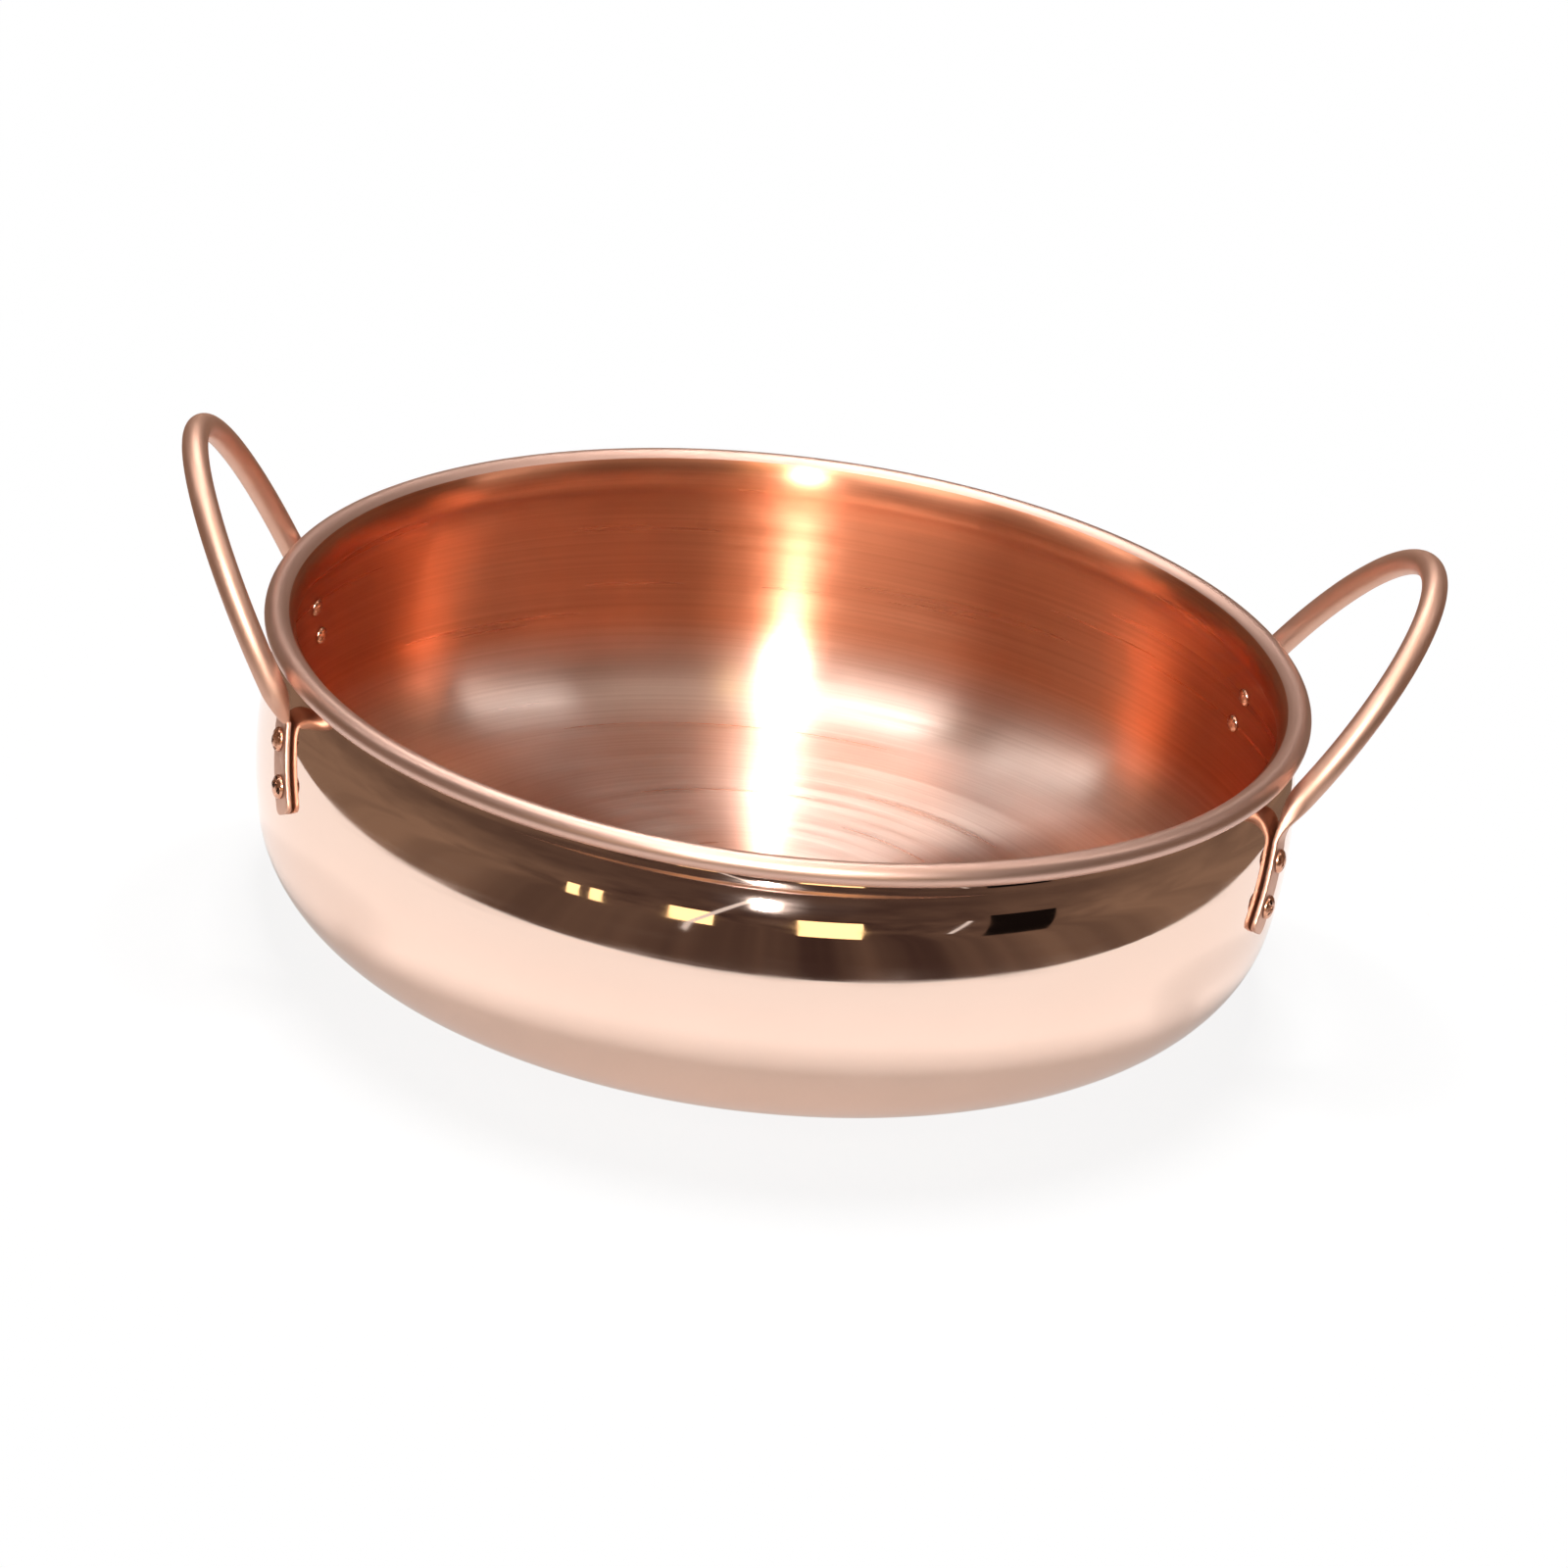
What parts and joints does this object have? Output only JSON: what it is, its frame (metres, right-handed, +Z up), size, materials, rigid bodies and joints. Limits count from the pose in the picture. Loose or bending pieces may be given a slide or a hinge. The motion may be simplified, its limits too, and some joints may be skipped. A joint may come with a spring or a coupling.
{
  "type": "hot pot",
  "caption": "Shallow round sheet-copper pot with a rolled rim, a bulging wall, a flat base and upright rod loop handles riveted through the wall.",
  "frame": {"origin": "centre of the flat base's underside, on the pot's axis", "axes": "+Z up along the pot's axis, -X through the middle of the left handle, +Y towards the back"},
  "size_m": [0.3827, 0.3198, 0.1444],
  "materials": {
    "polished_copper": "sheet copper, mirror polished outside and brushed in circles inside",
    "drawn_copper_rod": "satin drawn copper rod",
    "peened_copper": "hammered copper rivet",
    "steel_wire": "plain drawn steel wire"
  },
  "bodies": {
    "root": {"pot_body": "polished_copper", "rim_wire": "steel_wire", "handle_left": "drawn_copper_rod", "handle_right": "drawn_copper_rod", "rivet_left_front_lower": "peened_copper", "rivet_left_front_upper": "peened_copper", "rivet_left_back_lower": "peened_copper", "rivet_left_back_upper": "peened_copper", "rivet_right_front_lower": "peened_copper", "rivet_right_front_upper": "peened_copper", "rivet_right_back_lower": "peened_copper", "rivet_right_back_upper": "peened_copper"}
  },
  "joints": []
}
